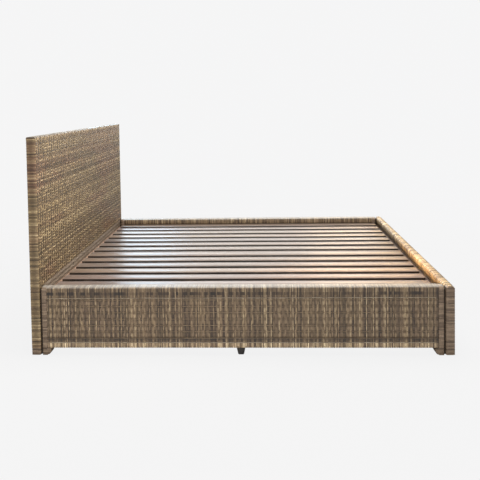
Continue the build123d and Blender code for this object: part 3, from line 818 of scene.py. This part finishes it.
# Lashing along the top of the headboard. Short strips of the same peel fold over the edge from front
# to back, and cover the ends of the stakes.
lash_pairs = 62
lash_pitch = (head_high[1] - head_low[1]) / (2 * lash_pairs)
lash_low = head_high[2] - 0.022
lash_radius = 0.007
lash_cover = 0.86
lash_route = [
    ((head_high[0], 0.0, lash_low), face_way, (0.0030, 0.0030)),
    ((head_high[0], 0.0, lash_low + 0.006), face_way, (0.0002, 0.0004)),
]
lash_front = (head_high[0] - lash_radius, 0.0, head_high[2] - lash_radius)
lash_back = (head_low[0] + lash_radius, 0.0, head_high[2] - lash_radius)
for place, outward in round_corner(lash_front, lash_radius, math.pi / 2, 3, "Z", "X"):
    lash_route.append((place, outward, (0.0, 0.0005)))
for place, outward in round_corner(lash_back, lash_radius, 0.0, 3, "Z", "X"):
    lash_route.append((place, outward, (0.0, 0.0005)))
lash_route.append(((head_low[0], 0.0, lash_low + 0.006), back_way, (0.0002, 0.0004)))
lash_route.append(((head_low[0], 0.0, lash_low), back_way, (0.0030, 0.0030)))
lashing_peel = rattan(
    "lashing_peel", "Y", "Z", 0.05, golden_tones[1:], head_patches, 0.5, sheen_above=head_high[2] - 0.01
)
lashing = lay_ribbons(
    "headboard_lashing", lash_route, (0.0, 0.0, math.pi / 2), lash_pitch, lash_cover,
    lash_pairs, head_low[1],
)
wander(lashing, "Y", 0.004, 0.03)
wander(lashing, "Z", 0.004, 0.02, level=1.0)
finish_piece(lashing, lashing_peel, "headboard_rattan")

# Cross band. Worn, greyed strands run along the face of the headboard just above the slats, where
# the mattress rubs. They dip at even steps, like the weave around them.
band_low, band_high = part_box("headboard_cross_band")
band_pairs = 4
band_pitch = (band_high[2] - band_low[2]) / (2 * band_pairs)
band_route = [((band_low[0], band_high[1], 0.0), face_way, (0.0, 0.0))]
band_dips, band_margin = 48, 0.004
for number in range(band_dips + 1):
    band_reach = band_high[1] - band_low[1] - 2 * band_margin
    reach = band_high[1] - band_margin - band_reach * number / band_dips
    depths = (0.0014 * (number % 2), 0.0014 * ((number + 1) % 2))
    band_route.append(((band_high[0], reach, 0.0), face_way, depths))
band_route.append(((band_low[0], band_low[1], 0.0), face_way, (0.0, 0.0)))
band = lay_ribbons(
    "headboard_band", band_route, level_turn, band_pitch, strip_cover, band_pairs, band_low[2]
)
band_tones = (
    (0.062, 0.045, 0.032),
    (0.170, 0.130, 0.095),
    (0.235, 0.190, 0.145),
    (0.340, 0.285, 0.225),
)
post_patches = (
    (0.167, 0.113, 0.073),
    (0.226, 0.157, 0.100),
    (0.192, 0.131, 0.086),
)
band_peel = rattan("band_peel", "Z", "Y", head_stake_spacing, band_tones, post_patches, 0.3)
finish_piece(band, band_peel, "rattan_peel", "headboard_cross_band")

# Wound posts. Level turns of smooth peel cover the ends of the rails and of the footboard, and the
# feet of both boards. Those of the rails swell into a bracket foot.
turn_width, turn_cover = 0.0068, 0.98


def wind_post(name, low, high, radius, round_axis="", round_top=0.0, toe=0):
    """Winds a post with level turns from low to high, and rounds two of its top edges."""
    turns = 2 * round((high[2] - low[2]) / turn_width / 2)
    pitch = (high[2] - low[2]) / turns
    route = []
    for corner_stations in ring_corners(low, high, radius, 3):
        route += [(place, outward, (0.0, 0.0004)) for place, outward in corner_stations]
    route.append(route[0])
    winding = lay_ribbons(name, route, level_turn, pitch, turn_cover, turns // 2, low[2])
    middle = (Vector(low) + Vector(high)) / 2

    def shape(place):
        move = Vector((0.0, 0.0, 0.0))
        over = place.z - (high[2] - round_top)
        if round_axis and over > 0:
            axis = "XYZ".index(round_axis)
            inset = round_top - math.sqrt(max(round_top**2 - min(over, round_top) ** 2, 0.0))
            move[axis] += inset * (1 if place[axis] < middle[axis] else -1)
        if toe and place.z < skin_low and (place.x - middle.x) * toe > 0:
            move.x += toe * toe_reach(place.z)
        return move if move.length > 0 else None

    nudge(winding, shape)
    wander(winding, "Z", 0.0022, 0.03)
    return winding


def fill_post(name, low, high, toe=0):
    """Models the timber inside a winding, with the bracket foot's toe; its near-black finish is painted
    shade.
    """
    core = block(name, low, high)
    if toe:
        bpy.ops.object.mode_set(mode="EDIT")
        for height in (0.009, 0.015, 0.021, 0.027, 0.033, 0.0375, 0.0385):
            bpy.ops.mesh.select_all(action="SELECT")
            bpy.ops.mesh.bisect(plane_co=(0.0, 0.0, height), plane_no=(0.0, 0.0, 1.0))
        bpy.ops.object.mode_set(mode="OBJECT")
        middle = (low[0] + high[0]) / 2
        nudge(
            core,
            lambda place: (toe * toe_reach(place.z), 0.0, 0.0)
            if place.z < skin_low and (place.x - middle) * toe > 0
            else None,
        )
    return core


toe_round, toe_top = 0.017, 0.032


def toe_reach(height):
    """Gives how far the bracket foot stands out past the end post at a height."""
    waist = skin_low - toe_round
    swing = math.sqrt(max(toe_round**2 - (height - waist) ** 2, 0.0))
    return toe_top - swing if height > waist else toe_top - 2 * toe_round + swing


def cross_top(axis, start, end, inset):
    """Lists the stations of a strip that crosses the flat top of a post along X or Y."""
    span = abs(end - start)
    stops = [(inset - 0.001, skin_top - 0.005)]
    stops += [(inset + (span - 2 * inset) * part / 4, skin_top) for part in range(5)]
    stops.append((span - inset + 0.001, skin_top - 0.005))
    route = []
    for distance, height in stops:
        place = Vector((0.0, 0.0, height))
        place["XY".index(axis)] = start + math.copysign(distance, end - start)
        route.append((place, Vector((0.0, 0.0, 1.0)), (0.0, 0.0)))
    return route


def lay_cap(name, route, turn, low, width):
    """Lays six strips side by side over the top of a post."""
    return lay_ribbons(name, route, (0.0, 0.0, turn), width / 6, strip_cover, 3, low)


post_tones = (
    (0.067, 0.039, 0.021),
    (0.154, 0.104, 0.067),
    (0.217, 0.151, 0.098),
    (0.289, 0.212, 0.143),
    (0.193, 0.131, 0.088),
)
post_peel = rattan("post_peel", "Z", "X", 0.09, post_tones, post_patches, 0.4)
cap_peel = rattan(
    "cap_peel", "X", "Y", 0.08, strip_tones, strip_patches, 0.8, sheen_above=skin_top - 0.009
)
floor_height = 0.004
joint_gap = 0.0085
rail_end_low, rail_end_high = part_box("left_rail_post_wraps")

for side, near_side in (("left", True), ("right", False)):
    y_low, y_high = (rail_low[1], rail_high[1]) if near_side else (-rail_high[1], -rail_low[1])
    for end, x_low, x_high, toe in (
        ("head", rail_end_low[0] + joint_gap, rail_low[0], 1),
        ("foot", rail_high[0], rail_end_high[0] - joint_gap, -1),
    ):
        winding = wind_post(
            f"{side}_rail_{end}_winding",
            (x_low, y_low, floor_height),
            (x_high, y_high, skin_top - 0.0012),
            0.005,
            "Y",
            0.012,
            toe,
        )
        finish_piece(
            winding, post_peel, "rattan_peel", f"{side}_rail_post_wraps", f"{side}_rail_{end}_post"
        )
        core = fill_post(
            f"{side}_rail_{end}_core",
            (x_low + 0.003 if toe < 0 else rail_end_low[0], y_low + 0.010, floor_height + 0.0005),
            (x_high - 0.003 if toe > 0 else rail_end_high[0], y_high - 0.010, skin_top - 0.014),
        )
        finish_piece(core, lining_peel, "frame_wood")
        heel = fill_post(
            f"{side}_rail_{end}_heel",
            (x_low + 0.003, y_low + 0.003, floor_height + 0.0005),
            (x_high - 0.003, y_high - 0.003, 0.046),
            toe,
        )
        finish_piece(heel, lining_peel, "frame_wood")

        cap_route = cross_top("Y", y_low, y_high, 0.0115)
        cap = lay_cap(f"{side}_rail_{end}_cap", cap_route, 0.0, x_low, x_high - x_low)
        finish_piece(cap, cap_peel, "rattan_peel")

for side, y_low, y_high in (
    ("left", foot_low[1], foot_low[1] + end_width),
    ("right", foot_high[1] - end_width, foot_high[1]),
):
    winding = wind_post(
        f"footboard_{side}_winding",
        (foot_low[0], y_low, skin_low),
        (foot_high[0], y_high, skin_top - 0.0012),
        0.006,
        "X",
        0.014,
    )
    finish_piece(winding, post_peel, "footboard_rattan")
    cap_route = cross_top("X", foot_high[0], foot_low[0], 0.0135)
    cap = lay_cap(f"footboard_{side}_cap", cap_route, math.pi / 2, y_low, end_width)
    finish_piece(cap, lashing_peel, "footboard_rattan")

post_inner = -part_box("headboard_left_post")[1][1]
for board, low, high in (("headboard", head_low, head_high), ("footboard", foot_low, foot_high)):
    for side, y_low, y_high in (
        ("left", low[1], -post_inner + 0.005),
        ("right", post_inner - 0.005, high[1]),
    ):
        winding = wind_post(
            f"{board}_{side}_foot_winding",
            (low[0], y_low, floor_height),
            (high[0], y_high, skin_low + 0.0004),
            0.006,
        )
        finish_piece(winding, post_peel, "rattan_peel", "foot_wraps")


# Slats. Planed boards of a reddish hardwood under a clear satin varnish, each with its own tone,
# screwed down on the bearers. None is quite straight or level.
first_low, first_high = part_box("slat_01")
slat_pitch = first_low[1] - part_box("slat_02")[0][1]
slat_start = first_high[1] + (slat_pitch - (first_high[1] - first_low[1])) / 2
wide_low, wide_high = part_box("slat_08")
wide_extra = (wide_high[1] - wide_low[1]) - (first_high[1] - first_low[1])


def wood(name, light, dark, along, figure, gloss, coat, tint=None):
    """Makes a planed wood whose grain runs along an axis, under a clear coat of a given weight."""
    material, tree = start_material(name)
    place = add_node(tree, "TexCoord").outputs["Object"]
    stretch = Vector((28.0, 28.0, 28.0))
    stretch["XYZ".index(along)] = 1.6
    board_place = stretch_place(tree, place, stretch)
    bend = add_noise(tree, board_place, 0.5, 3.0)
    bent_place = stretch_place(tree, bend.outputs["Color"], (figure, figure, figure), board_place)
    rings = add_noise(tree, bent_place, 1.1, 5.0, 0.62)
    pore_place = stretch_place(tree, board_place, (14.0, 14.0, 14.0))
    pores = add_noise(tree, pore_place, 1.0, 2.0)
    half_way = tuple((a + b) / 2 for a, b in zip(light, dark))
    tone = ramp_colour(tree, rings.outputs["Fac"], (dark, half_way, light), 0.3, 0.68)
    pore_shade = remap(tree, pores.outputs["Fac"], 0.35, 0.6, 0.72, 1.05)
    grey = add_node(tree, "CombineColor", {0: pore_shade, 1: pore_shade, 2: pore_shade})
    colour = blend_colours(tree, "MULTIPLY", 1.0, tone, grey.outputs[0])
    if tint:
        colour = blend_colours(tree, "MULTIPLY", 1.0, colour, tint(tree, place))
    rough = remap(tree, rings.outputs["Fac"], 0.3, 0.7, gloss + 0.08, gloss - 0.06)
    bump = add_node(tree, "Bump", {"Height": pores.outputs["Fac"], "Strength": 0.25, "Distance": 0.0004})
    surface = {"Base Color": colour, "Roughness": rough, "Normal": bump.outputs[0]}
    lay_surface(tree, {**surface, "Coat Weight": coat, "Coat Roughness": 0.28})
    return material


slat_tints = (
    (0.70, 0.68, 0.70),
    (1.05, 0.86, 0.84),
    (0.84, 0.76, 0.72),
    (1.20, 1.02, 0.82),
    (0.95, 0.95, 0.95),
)


def slat_tint(tree, place):
    """Gives each slat its own tone from its place across the bed, and paints shade on its sides below the
    top face.
    """
    split = add_node(tree, "SeparateXYZ", {0: place})
    past_wide = calculate(tree, "LESS_THAN", split.outputs["Y"], wide_low[1] - 0.01)
    across = calculate(
        tree, "ADD", split.outputs["Y"], calculate(tree, "MULTIPLY", past_wide, wide_extra)
    )
    slats_passed = calculate(tree, "DIVIDE", calculate(tree, "SUBTRACT", slat_start, across), slat_pitch)
    number = calculate(tree, "FLOOR", slats_passed)
    chance = add_node(tree, "TexWhiteNoise", {"W": number}, noise_dimensions="1D")
    tint = ramp_colour(tree, chance.outputs["Value"], slat_tints)
    # Painted shade: the sides below the top face are near-black.
    top = calculate(tree, "GREATER_THAN", split.outputs["Z"], slat_line - 0.0016)
    return blend_colours(tree, "MIX", top, (0.13, 0.11, 0.10, 1.0), tint)


slat_wood = wood(
    "slat_wood", (0.225, 0.186, 0.160), (0.120, 0.090, 0.074), "X", 1.4, 0.45, 0.9, slat_tint
)

slat_parts = 24
for number in range(1, 15):
    slat_low, slat_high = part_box(f"slat_{number:02d}")
    slat = block(f"board_{number:02d}", slat_low, slat_high)
    edge = slat.modifiers.new("edge", "BEVEL")
    edge.width = 0.0018
    edge.segments = 2
    bpy.ops.object.modifier_apply(modifier="edge")
    bpy.ops.object.mode_set(mode="EDIT")
    for cut in range(1, slat_parts):
        bpy.ops.mesh.select_all(action="SELECT")
        cut_place = slat_low[0] + (slat_high[0] - slat_low[0]) * cut / slat_parts
        bpy.ops.mesh.bisect(plane_co=(cut_place, 0.0, 0.0), plane_no=(1.0, 0.0, 0.0))
    bpy.ops.object.mode_set(mode="OBJECT")
    tilt = 0.008 * math.sin(2.6 * number)
    slat_middle = (slat_low[1] + slat_high[1]) / 2
    nudge(slat, lambda place: (0.0, 0.0, tilt * (place.y - slat_middle) - abs(tilt) * 0.04))
    wander(slat, "Y", 0.012, 0.8)
    bpy.ops.object.shade_smooth_by_angle(angle=math.radians(30))
    finish_piece(slat, slat_wood, "slat_wood", f"slat_{number:02d}")

# Timber. Bearers, ledgers and the frames inside the boards are plain planed wood. The ledger at the
# foot end is painted dark as the shadow of the footboard, and the middle feet are painted black.
bearer_wood = wood("bearer_wood", (0.42, 0.28, 0.20), (0.24, 0.14, 0.09), "Y", 1.2, 0.55, 0.1)


def foot_end_shadow(tree, place):
    """Keeps the ledger at the head end as it is, and paints the one at the foot end dark as the
    footboard's shadow.
    """
    at_foot = add_node(tree, "SeparateXYZ", {0: place}).outputs["X"]
    past_middle = calculate(tree, "GREATER_THAN", at_foot, 0.0)
    return blend_colours(tree, "MIX", past_middle, (1.0, 1.0, 1.0, 1.0), (0.16, 0.14, 0.13, 1.0))


end_ledger_wood = wood(
    "end_ledger_wood", (0.42, 0.28, 0.20), (0.24, 0.14, 0.09), "Y", 1.2, 0.55, 0.1, foot_end_shadow
)
frame_wood = wood("frame_wood", (0.45, 0.33, 0.22), (0.30, 0.20, 0.12), "Z", 1.2, 0.6, 0.0)
foot_wood = wood("foot_wood", (0.055, 0.05, 0.048), (0.02, 0.018, 0.017), "Z", 1.0, 0.5, 0.2)


# Hardware. Zinc-plated screws, corner brackets painted dark, and plastic glides under the feet, all
# in the shapes of the construction.
def hardware_finish(name, tone, rough, shine):
    """Makes plated, painted or moulded hardware with a faint mottle."""
    material, tree = start_material(name)
    place = add_node(tree, "TexCoord").outputs["Object"]
    mottle = add_noise(tree, place, 300.0, 3.0)
    darker = tuple(part * 0.7 for part in tone)
    colour = ramp_colour(tree, mottle.outputs["Fac"], (darker, tone), 0.35, 0.65)
    bump = add_node(tree, "Bump", {"Height": mottle.outputs["Fac"], "Strength": 0.2, "Distance": 0.0003})
    surface = {"Base Color": colour, "Metallic": shine, "Roughness": rough}
    lay_surface(tree, {**surface, "Normal": bump.outputs[0]})
    return material


screw_steel = hardware_finish("screw_steel", (0.55, 0.53, 0.50), 0.35, 1.0)
bracket_steel = hardware_finish("bracket_steel", (0.08, 0.08, 0.085), 0.5, 0.6)
glide_plastic = hardware_finish("glide_plastic", (0.05, 0.05, 0.05), 0.6, 0.0)

# Finishes of the pieces that keep the shapes of the construction. Each takes the one that its slot is
# named after.
cad_materials = {
    "bearer_wood": bearer_wood,
    "frame_wood": frame_wood,
    "foot_wood": foot_wood,
    "screw_steel": screw_steel,
    "bracket_steel": bracket_steel,
    "glide_plastic": glide_plastic,
}
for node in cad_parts.values():
    for slot in node.material_slots:
        slot.material = cad_materials.get(slot.material.name.split(".")[0], slot.material)
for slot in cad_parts["end_ledgers"].material_slots:
    slot.material = end_ledger_wood
